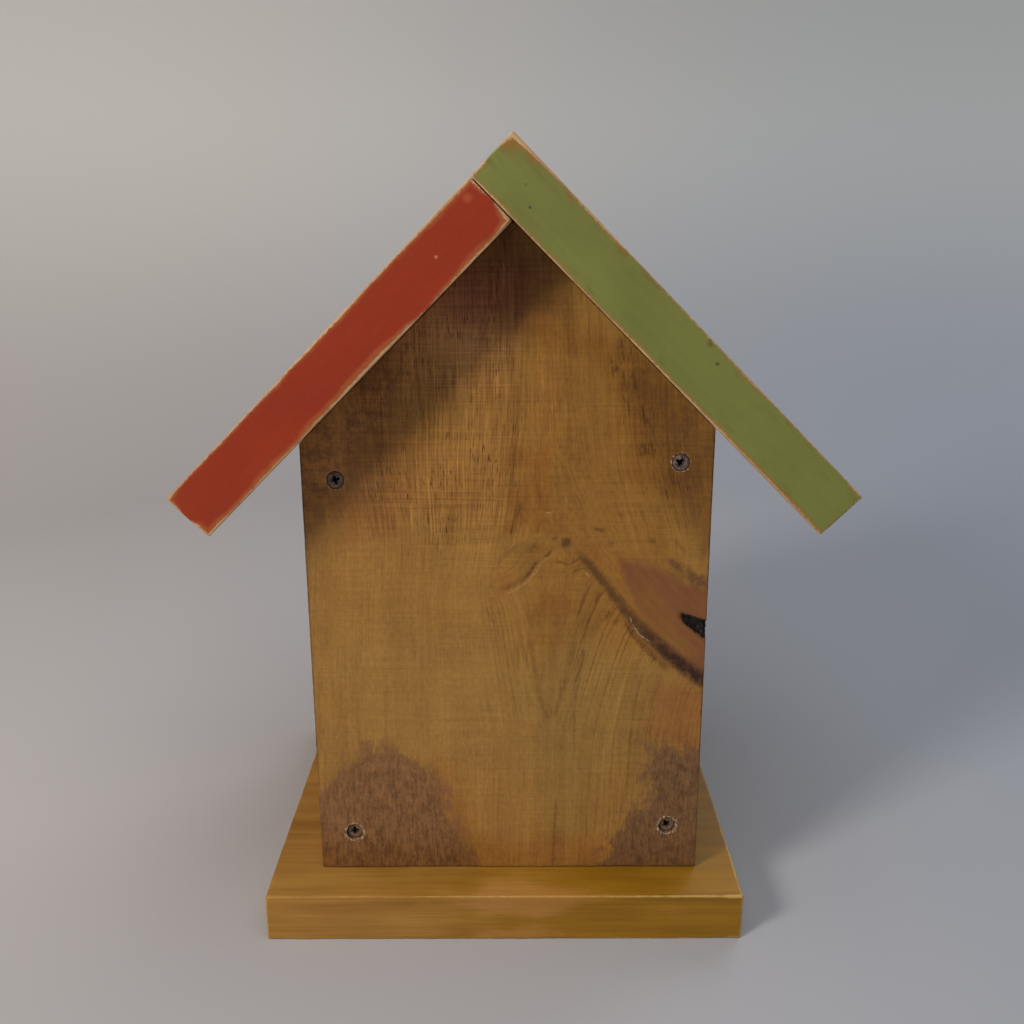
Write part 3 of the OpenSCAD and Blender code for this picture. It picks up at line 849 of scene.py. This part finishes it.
def mark_back_panel(piece):
    """Stores where each mark of the back panel is, for back_panel_marks."""
    points = local_points(piece)
    x, z, flat = panel_place(points)
    depth = np.maximum(points[:, 1] - BACK_LOW[1] - 0.6, 0)          # how far in from the rounded arris
    store(piece, place=np.stack([x, points[:, 1] - BACK_LOW[1], z], 1), rings=panel_rings(x, z, flat),
          side=30 * np.tanh((x - track(z, AXIS)) / 5),
          raw=smooth(points[:, 1], BACK_HIGH[1] - 0.2, BACK_HIGH[1] - 0.02),
          rim=np.minimum(points[:, 0] - BACK_LOW[0], BACK_HIGH[0] - points[:, 0]) + depth)

    bark, along = line_distance(flat, BARK)
    darkness = smooth(along, -0.02, 0.08) * (0.4 + 0.6 * smooth(along, 0.35, 0.8))
    store(piece, bark=bark, bark_width=1.7 + 2.3 * smooth(along, 0.1, 0.95),
          bark_dark=darkness * smooth(depth, 9, 0))
    signed, width, strength = lines_field(flat, LINES)
    store(piece, line=signed, line_width=width, line_dark=strength * smooth(depth, 1.5, 0))
    signed, _, strength = lines_field(flat, [(line, 0.4, 0.4, light) for line, light in PALE_LINES])
    store(piece, pale=signed, pale_light=strength)

    knots = ((EYE, 1.9), (EYE_SIDE, 0.9), (EYE_FAR, 0.6))
    store(piece, heart=inside_distance(flat, HEART) - 0.8 * depth,
          heart_share=0.94 - 0.34 * smooth(inside_distance(flat, AMBER), -3, 3),
          knot=inside_distance(flat, KNOT) - 0.45 * depth,
          smudge=inside_distance(flat, SMUDGE) - depth,
          eye=np.max([radius - np.linalg.norm(flat - centre, axis=1) for centre, radius in knots], 0),
          blotch=np.max([inside_distance(flat, outline) for outline in BLOTCHES], 0) - 1.8 * depth)

    warped = flat + np.stack([ripple(flat, 16, 31), ripple(flat, 16, 32)], 1) * 2.5
    tone = np.ones((len(points), 3))
    for outline, soft, change in TONES:
        tone *= 1 + smooth(inside_distance(warped, outline), -soft, soft)[:, None] * (np.array(change) - 1)
    right = x[:, None] > 0
    side_tone = np.where(right, (0.76, 0.79, 0.78), (1.0, 0.97, 0.89))
    foot_dark = np.where(right, (0.1, 0.12, 0.1), (0.2, 0.25, 0.42))
    store(piece, tone=tone, stain_tone=side_tone * (1 - smooth(z, 17, 3)[:, None] * foot_dark),
          grime=smooth(inside_distance(warped, UNDER_RED), -6, 8)
          + 0.7 * smooth(inside_distance(warped, UNDER_GREEN), -6, 10))

    # Where the growth rings show: in a fan right of the V, left of it, below the bark, and faintly everywhere
    fan = smooth(x, 18, 26) * smooth(x, 62, 46) * smooth(z, 50, 88) * smooth(z, 118, 104)
    left_of_v = 0.5 * smooth(x, -14, -6) * smooth(x, 12, 6) * smooth(z, 56, 66) * smooth(z, 112, 102)
    below = 0.45 * smooth(x, 22, 30) * smooth(z, 90, 70)
    store(piece, growth=np.max([fan, left_of_v, below, np.full(len(x), 0.12)], 0))
    # Where the saw marks are combed out: most of all at the upper left
    combed = smooth(x, 14, -4) * smooth(z, 106, 146) * smooth(x, -66, -36)
    upper_right = 0.55 * smooth(x, 26, 40) * smooth(z, 112, 140)
    store(piece, combed=np.max([combed, upper_right, 0.3 * smooth(z, 128, 150)], 0))

    gaps = np.full(len(points), 1e3)
    torn = np.zeros(len(points))
    for node in BACK_SCREWS:
        centre, radius, sunk = screw_centre(node)
        gap = np.hypot(points[:, 0] - centre[0], points[:, 2] - centre[2]) - radius
        torn = np.where(gap < gaps, 1.6 if sunk else 0.6, torn)
        gaps = np.minimum(gaps, gap)
    store(piece, screw_gap=gaps, torn=torn)


# ---------------------------------------------------------------- the panels and walls

SHANK_HOLE = 1.7                                    # radius of the clearance hole of a back screw
BREAK_OUT = 1.0                                     # how far a cutter stands out of the wood


def screw_sink(node):
    """Cutter for a back screw's hole, torn a little wider where the head broke the face."""
    centre, radius, sunk = screw_centre(node)
    head = radius + 0.1
    face, top = BACK_LOW[1], corners(node)[0][1]
    random = np.random.default_rng(len(node) + int(centre[0] > 0))
    phases = random.uniform(0, 2 * math.pi, 5)
    tear_size, splinter_size = (0.3, 1) if sunk else (0.12, 0.4)

    def ragged(angles, y, radii):
        share = smooth(np.array([y]), face + 0.7, face)[0]
        tear = sum(np.sin(angles * k + phase) / k for k, phase in zip((2, 3, 5, 9, 14), phases))
        along_grain = 0.22 * np.abs(np.sin(angles)) ** 3
        return radii + share * (tear_size * (0.55 + 0.5 * tear) + along_grain * splinter_size)

    profile = [(0, face - BREAK_OUT), (head, face - BREAK_OUT), (head, face), (head, face + 0.25)]
    if sunk:
        profile.append((head, face + 0.7))
    profile += [(head, top + 0.3), (SHANK_HOLE, top + 0.3 + head - SHANK_HOLE),
                (SHANK_HOLE, BACK_HIGH[1] + BREAK_OUT), (0, BACK_HIGH[1] + BREAK_OUT)]
    points, faces = lathe(profile, 72, ragged)
    return closed_object("cutter", across(points, centre[0], 0, centre[2]), faces)


def round_hole(x, z, radius, flare):
    """Cutter for a hole through the front panel, rounded over by flare at both faces."""
    low_y, high_y = FRONT_LOW[1], FRONT_HIGH[1]
    curve = [(radius + flare * (1 - math.sqrt(1 - (1 - step) ** 2)), flare * step)
             for step in (0.3, 0.6, 1.0)]
    profile = [(0, low_y - BREAK_OUT), (radius + flare * 1.6, low_y - BREAK_OUT), (radius + flare, low_y)]
    profile += [(r, low_y + step) for r, step in curve] + [(r, high_y - step) for r, step in reversed(curve)]
    profile += [(radius + flare, high_y), (radius + flare * 1.6, high_y + BREAK_OUT), (0, high_y + BREAK_OUT)]
    points, faces = lathe(profile, 96)
    return closed_object("cutter", across(points, x, 0, z), faces)


def make_back_panel():
    low, high = BACK_LOW, BACK_HIGH
    piece = board("back_panel_shape", low, high, 1.7, 0.32, roof=high[2], relief=back_relief,
                  wear=[((low[0], low[1], low[2] + 40), 9, 0.3), ((high[0], low[1], FOOT_Z + 60), 12, 0.35)],
                  fine_x=(PANEL_X + 6, PANEL_X + 72, 0.85), fine_z=(FOOT_Z + 70, FOOT_Z + 132, 0.85))
    cut(piece, [screw_sink(node) for node in BACK_SCREWS])
    mark_back_panel(piece)
    finish_piece(piece, "back_panel", stained_pine("stained_back", featured=True))


def pine_rings(x, z, knots):
    """Straight grain that parts round each knot (x, z, size)."""
    rings = x + 3 * np.sin(z / 90.0) + 0.02 * z
    for knot_x, knot_z, size in knots:
        off = x - knot_x
        part = size * 1.6 * np.exp(-((z - knot_z) / (size * 4.5)) ** 2) * np.exp(-(off / (size * 5)) ** 2)
        rings = rings - np.tanh(off / size) * part
    return rings


def mark_pine(piece, points, grain_across, through, raw, knots):
    """Stores what the pine finish reads. raw is 1 where the wood is bare."""
    z = points[:, 2] - FOOT_Z
    store(piece, place=np.stack([grain_across, through, z], 1), rings=pine_rings(grain_across, z, knots),
          side=np.zeros(len(z)), combed=0.05 + 0.3 * smooth(ripple(points, 60, 7), -0.3, 0.8), raw=raw)


def make_front_panel():
    low, high = FRONT_LOW, FRONT_HIGH
    perch_low, perch_high = corners("perch_dowel")
    opening = next(o for o in frame["record"]["physics"]["openings"] if o["name"] == "entrance_width")
    (low_x, _, low_z), (high_x, _, high_z) = (np.array(corner) / MM for corner in opening["box_m"])
    hole_z = (low_z + high_z) / 2
    # The opening's box is measured inside the round hole, which is a little wider than its diagonal
    clearance = 0.27
    hole_r = math.hypot(high_x - low_x, high_z - low_z) / 2 + clearance
    piece = board("front_panel_shape", low, high, 1.9, 0.5, roof=high[2],
                  wear=[((low[0], high[1], FOOT_Z + 90), 14, 0.5),
                        ((high[0], high[1], FOOT_Z + 30), 10, 0.6)])
    perch_r = (perch_high[0] - perch_low[0]) / 2 + 0.05
    cut(piece, [round_hole(PANEL_X, hole_z, hole_r, 0.9),
                round_hole(PANEL_X, (perch_low[2] + perch_high[2]) / 2, perch_r, 0.2)])
    points = local_points(piece)
    from_hole = np.hypot(points[:, 0] - PANEL_X, points[:, 2] - hole_z)
    raw = np.maximum(smooth(points[:, 1], low[1] + 0.2, low[1] + 0.02),
                     0.75 * smooth(from_hole, hole_r + 1.2, hole_r + 0.3))
    knots = [(-38, 62, 7), (46, 176, 4), (30, 34, 5)]
    mark_pine(piece, points, points[:, 0] - PANEL_X, points[:, 1], raw, knots)
    finish_piece(piece, "front_panel", stained_pine("stained_front"))


def make_side_wall(node, side, knots):
    """side is -1 for the left wall and 1 for the right one."""
    low, high = corners(node)
    piece = board(node + "_shape", low, high, 2.4, 0.4, roof=PEAK_Z)
    points = local_points(piece)
    inner = high[0] if side < 0 else low[0]
    through = points[:, 0] - (low[0] + high[0]) / 2 + 40 * side
    mark_pine(piece, points, points[:, 1], through, smooth(np.abs(points[:, 0] - inner), 0.5, 0.1), knots)
    finish_piece(piece, node, stained_pine("stained_" + node))


# ---------------------------------------------------------------- the painted boards


def wear_width(place, half, width, arrises, spots, seed):
    """How far from the arrises the finish is rubbed through. arrises maps pairs of faces such as y-z+ to
    widths, width is for the others, and spots are (centre, reach, extra width)."""
    worn = np.zeros(len(place))
    for first, second in ((0, 1), (0, 2), (1, 2)):
        for a, b in ((-1, -1), (-1, 1), (1, -1), (1, 1)):
            key = "xyz"[first] + "-+"[a > 0] + "xyz"[second] + "-+"[b > 0]
            gap = np.hypot(half[first] - a * place[:, first], half[second] - b * place[:, second])
            seed += 1
            vary = 1 + 0.35 * ripple(place, 30, seed) + 0.2 * ripple(place, 7, seed + 50)
            here = arrises.get(key, width) * np.clip(vary, 0.1, 2.6) * smooth(gap, 9, 4)
            worn = np.maximum(worn, here)
    for centre, reach, extra in spots:
        worn = worn + extra * bump(place, centre, reach)
    return worn


def mark_board(piece, low, high, turn, width, arrises, spots, seed):
    """Stores each point's place from the middle of the board, and the wear there, and returns the places."""
    place = local_points(piece, turn) - (low + high) / 2
    store(piece, place=place, wear=wear_width(place, (high - low) / 2, width, arrises, spots, seed))
    return place


def scaled(half, rows):
    """The rows with their first item, a place as shares of the half sizes, in millimetres."""
    return [(tuple(half * centre), *rest) for centre, *rest in rows]


def make_base():
    low, high = BASE_LOW, BASE_HIGH
    half = (high - low) / 2
    piece = board("base_board_shape", low, high, 2.2, 0.7,
                  wear=[((high[0], low[1], high[2]), 14, 0.6), ((low[0], low[1], high[2]), 8, 0.5),
                        ((high[0], low[1], low[2]), 8, 0.5), ((20, low[1], high[2]), 22, 0.3)])
    spots = scaled(half, [((1, -1, 1), 40, 0.5), ((0.3, -1, 1), 40, 0.25), ((-0.2, -1, 1), 30, 0.1)])
    arrises = {"y-z+": 0.08, "x+z+": 0.4, "y-z-": 0.15, "x-z+": 0.2}
    place = mark_board(piece, low, high, 0.0, 0.35, arrises, spots, 60)
    rosy = scaled(half, [((0.1, -1, 0.75), (26, 8, 6), 1.0), ((0.08, -1, -0.8), (22, 8, 4), 0.8),
                         ((0.72, -1, 0.3), (7, 8, 5), 0.5)])
    store(piece, rosy=sum(share * bump(place, centre, reach) for centre, reach, share in rosy))
    finish_piece(piece, "base_board", golden_base("golden_base", half))


def make_roof_board(node, turn, rounder, slot, width, arrises, spots, seed, flecks, **paint):
    """rounder, spots and flecks start with a place as shares of the half sizes: along the slope, along the
    ridge and out of the roof."""
    low, high = corners(node, turn)
    middle, half = (low + high) / 2, (high - low) / 2
    piece = board(node + "_shape", low, high, 2.0, 0.45, turn=turn,
                  wear=[(middle + centre, reach, extra) for centre, reach, extra in scaled(half, rounder)])
    mark_board(piece, low, high, turn, width, arrises, scaled(half, spots), seed)
    material = painted_board(node + "_paint", half=half, flecks=scaled(half, flecks), **paint)
    finish_piece(piece, node, material)


# ---------------------------------------------------------------- screws, perch


def cross_cutter(width, depth, thick):
    """Cutter for a cross recess from z = 0 down, tapering to its bottom."""
    outline = []
    for quarter in range(4):
        turn = quarter * math.pi / 2
        for x, y in ((width, -thick), (width, thick), (thick, thick)):
            outline.append((x * math.cos(turn) - y * math.sin(turn), x * math.sin(turn) + y * math.cos(turn)))
    outline = np.array(outline)
    sides = len(outline)
    rings = ((1.12, 0.4), (1.0, 0.0), (0.35, -depth))          # (size, height), above the head and down
    points = np.vstack([np.column_stack([outline * size, np.full(sides, z)]) for size, z in rings])
    faces = [list(range(sides)), list(range(3 * sides - 1, 2 * sides - 1, -1))]
    for ring in (0, sides):
        for i in range(sides):
            j = (i + 1) % sides
            faces.append([ring + i, ring + sides + i, ring + sides + j, ring + j])
    return closed_object("cutter", points, faces)


def make_back_screw(node, turn, material):
    """A countersunk cross-recess screw with a real helical thread, in the place of its CAD node."""
    low, high = corners(node)
    centre, head_r, sunk = screw_centre(node)
    length = high[1] - low[1]
    thread_r = head_r / 2
    root_r = thread_r * 0.68
    pitch = thread_r * 0.9
    thread_start = length * 0.42
    point = thread_r * 3.2                              # length of the tapered point
    rim = 0.3                                           # height of the head above its cone
    profile = [(0, 0), (head_r * 0.5, 0.0), (head_r - 0.16, -0.01), (head_r - 0.03, -0.09), (head_r, -0.22),
               (head_r, -rim), (thread_r, -rim - (head_r - thread_r)), (thread_r, -thread_start)]
    profile += [(root_r, -h) for h in np.arange(thread_start + pitch / 8, length - 0.3, pitch / 8)]
    profile.append((0, -length))

    def thread(angles, z, radii):
        depth = -z
        if depth <= thread_start + 1e-6:
            return radii
        phase = (depth / pitch - angles / (2 * math.pi)) % 1
        ridge = np.clip(1 - np.abs(phase - 0.5) / 0.32, 0, 1)
        taper = min(1.0, (length - depth) / point)
        start = min(1.0, (depth - thread_start) / pitch)
        return (root_r + (thread_r - root_r) * ridge * start) * (0.12 + 0.88 * taper)

    piece = closed_object(node + "_shape", *lathe(profile, 40, thread))
    cut(piece, [cross_cutter(head_r * 0.58, head_r * 0.72, head_r * 0.16)])
    points = local_points(piece)
    store(piece, out=np.hypot(points[:, 0], points[:, 1]) / head_r,
          soil=np.full(len(points), 1.0 if sunk else 0.2))
    piece.data.transform(Matrix.Translation(Vector((centre[0], low[1], centre[2])) * MM)
                         @ turned(90, "X", 4) @ turned(turn, "Z", 4))
    finish_piece(piece, node, material, smooth_angle=35)


def make_perch():
    low, high = corners("perch_dowel")
    centre = (low + high) / 2
    radius = (high[0] - low[0]) / 2
    length = high[1] - low[1]
    end_round = 1.5                                     # radius of its rounded end
    profile = [(0, 0)] + [(radius, h) for h in (0.0, *np.linspace(0.4, length - end_round - 0.1, 30))]
    for angle in (20, 40, 60, 75, 87):
        a = math.radians(angle)
        profile.append((radius - end_round * (1 - math.cos(a)), length - end_round * (1 - math.sin(a))))
    profile.append((0, length))

    def worn(angles, z, radii):
        wobble = 0.04 * np.sin(angles * 2 + z / 9) + 0.03 * np.sin(angles * 3 - z / 5)
        return radii - (z > BOARD_T) * (0.05 + wobble)

    points, faces = lathe(profile, 48, worn)
    points = across(points * (1, -1, 1), centre[0], low[1], centre[2])
    piece = closed_object("perch_dowel_shape", points, faces)
    finish_piece(piece, "perch_dowel", dowel_wood("dowel"))


# ---------------------------------------------------------------- building the object

make_back_panel()
make_front_panel()
make_side_wall("left_side_wall", -1, knots=[(-18, 70, 6), (26, 140, 4)])
make_side_wall("right_side_wall", 1, knots=[(20, 96, 7), (-30, 30, 4)])
make_base()
make_perch()

make_roof_board(
    "red_roof_board", -45, slot="red_paint", width=0.8, seed=100,
    rounder=[((1, -1, -1), 5, 0.7), ((0, -1, -1), 40, 0.2), ((-1, -1, 1), 6, 0.3), ((1, -1, 1), 6, 0.2)],
    arrises={"y-z+": 0.85, "y-z-": 1.35, "x-y-": 0.05, "x+y-": 0.05},
    spots=[((1, -1, -1), (5, 6, 2.0), 1.9), ((-1, -1, 1), (5, 6, 3), 0.9), ((0.9, -1, 1), (14, 6, 3), 0.5),
           ((-0.25, -1, 1), (3, 6, 3), 0.8), ((0.3, -1, -1), (40, 6, 3), 0.3)],
    paint=linear(167, 55, 23), deep=linear(152, 48, 22),
    fade=linear(178, 102, 54), smear=linear(136, 62, 34),
    flecks=[((0.66, -1, 0.0), 1.1, linear(206, 120, 92)), ((0.93, -1, 0.58), 3.0, linear(178, 80, 48)),
            ((0.7, -1, -0.2), 0.9, linear(130, 46, 28)), ((-0.42, -1, 0.93), 1.4, linear(84, 44, 26))])
make_roof_board(
    "green_roof_board", 45, slot="green_paint", width=0.7, seed=140,
    rounder=[((0, -1, 1), 50, 0.2), ((1, -1, 1), 6, 0.3), ((1, -1, -1), 6, 0.3)],
    arrises={"y-z+": 0.42, "y-z-": 0.85, "x-y-": 0.02, "x+y-": 0.02},
    spots=[((-1, -1, 1), (5, 6, 3.2), 2.5), ((-0.9, -1, 1), (13, 6, 2), 1.2),
           ((-0.5, -1, 1), (10, 6, 3), 0.5), ((-0.2, -1, 1), (6, 6, 3), 0.5),
           ((0.3, -1, 1), (4, 6, 3), 0.6), ((0.72, -1, -1), (34, 6, 3), 0.75)],
    paint=linear(135, 140, 71), deep=linear(120, 123, 63),
    fade=linear(158, 116, 60), smear=linear(108, 98, 52),
    flecks=[((-0.98, -1, 0.8), 9.0, linear(150, 114, 52)), ((-0.88, -1, 0.95), 6.0, linear(146, 110, 52)),
            ((-0.68, -1, 1.0), 5.0, linear(138, 112, 54)), ((-0.4, -1, 1.0), 6.0, linear(128, 110, 54)),
            ((-0.76, -1, -0.32), 1.2, linear(66, 64, 40)), ((-0.83, -1, 0.1), 1.0, linear(104, 98, 54)),
            ((0.18, -1, 0.55), 1.3, linear(86, 80, 46)), ((0.1, -1, 0.9), 2.8, linear(110, 102, 54))])

dark_steel = steel("dark_steel", linear(92, 80, 74), linear(166, 154, 146), 0.48, dirty_and_shaded=True)
bright_steel = steel("bright_steel", linear(120, 116, 112), linear(188, 186, 182), 0.4)
for node, turn in BACK_SCREWS.items():
    make_back_screw(node, turn, dark_steel)
for node in ("base_screws", "front_panel_nails", "red_roof_nails", "green_roof_nails", "ridge_nails"):
    materials = frame["nodes"][node].data.materials
    materials.clear()
    materials.append(bright_steel)

# ---------------------------------------------------------------- studio, in metres

FLOOR_RADIUS = 0.62
WALL_RADIUS = 1.15
WALL_HEIGHT = 1.1
BEND_STEPS = 24
AIM = Vector((0, 0, 0.14))                          # the lights point here, at the middle of the house
WARM = (1.0, 0.94, 0.86)
COOL = (0.96, 0.98, 1.0)


def studio_painted_light():
    """Paint with painted light: lighter and warmer at the left of the picture, where the key light is, darker
    and cooler at the right, and changing from the floor up the wall.
    """
    s = Shader("studio_painted_light")
    x, _, z = s.split(s.node("TexCoord", {}).outputs["Object"])
    # Painted light: floor and wall lighter and warmer at the left, darker and cooler to the right
    across_picture = s.ramp(x, -0.55, 0.55)
    floor = s.mix(across_picture, linear(200, 192, 188), linear(156, 163, 176))
    wall = s.mix(across_picture, linear(237, 230, 223), linear(208, 212, 215))
    return s.finished(s.mix(s.ramp(z, 0.0, 0.4), floor, wall), 0.8, specular=0.2)


def make_studio():
    """A pale floor that turns up into a round wall. The wall is only there for the camera."""
    bend = WALL_RADIUS - FLOOR_RADIUS
    profile = [(0, 0.0), (0.2, 0.0), (FLOOR_RADIUS, 0.0)]
    for step in range(1, BEND_STEPS + 1):
        a = math.pi / 2 * step / BEND_STEPS
        profile.append((FLOOR_RADIUS + bend * math.sin(a), bend * (1 - math.cos(a))))
    profile.append((WALL_RADIUS, WALL_HEIGHT))
    sides = 96
    angles = np.arange(sides) / sides * 2 * math.pi
    paint = studio_painted_light()
    for name, rings in (("floor", profile[:3]), ("backdrop", profile[2:])):
        points = [(r * math.cos(a), r * math.sin(a), z) for r, z in rings for a in angles]
        faces = []
        for k in range(0, (len(rings) - 1) * sides, sides):
            for i in range(sides):
                j = (i + 1) % sides
                faces.append((k + i, k + j, k + sides + j, k + sides + i))
        mesh = bpy.data.meshes.new(name)
        mesh.from_pydata(points, [], faces)
        mesh.polygons.foreach_set("use_smooth", [True] * len(mesh.polygons))
        mesh.materials.append(paint)
        stage = add_object(name, mesh)
        if name == "backdrop":
            stage.visible_shadow = stage.visible_diffuse = stage.visible_glossy = False


def make_light(name, towards, distance, size, power, colour):
    """A round soft light in the direction towards, aimed at the middle of the house."""
    data = bpy.data.lights.new(name, "AREA")
    data.shape = "DISK"
    data.size = size
    data.energy = power
    data.color = colour
    light = add_object(name, data)
    direction = Vector(towards).normalized()
    light.location = AIM + direction * distance
    light.rotation_euler = direction.to_track_quat("Z", "Y").to_euler()


def make_world():
    """Faint light from all round, warm from the left and cool from the right."""
    world = bpy.data.worlds.new("studio")
    world.use_nodes = True
    s = Nodes(world.node_tree)
    x = s.split(s.node("TexCoord", {}).outputs["Generated"])[0]
    side = s.node("MapRange", {"Value": x, "From Min": -1.0, "From Max": 1.0}).outputs[0]
    background = s.tree.nodes["Background"]
    s.feed(background.inputs["Color"], s.mix(side, (0.62, 0.57, 0.53, 1), (0.50, 0.55, 0.62, 1)))
    s.feed(background.inputs["Strength"], 0.2)
    bpy.context.scene.world = world


make_studio()
make_light("key", (-0.63, -0.61, 0.476), distance=1.5, size=0.38, power=13.2, colour=WARM)
make_light("overhead", (0.1, -0.35, 1.0), distance=1.3, size=1.5, power=7.5, colour=COOL)
make_light("back", (0.75, 1.0, 0.75), distance=1.6, size=1.1, power=6.5, colour=COOL)
make_world()
bpy.context.scene.view_settings.view_transform = "Standard"
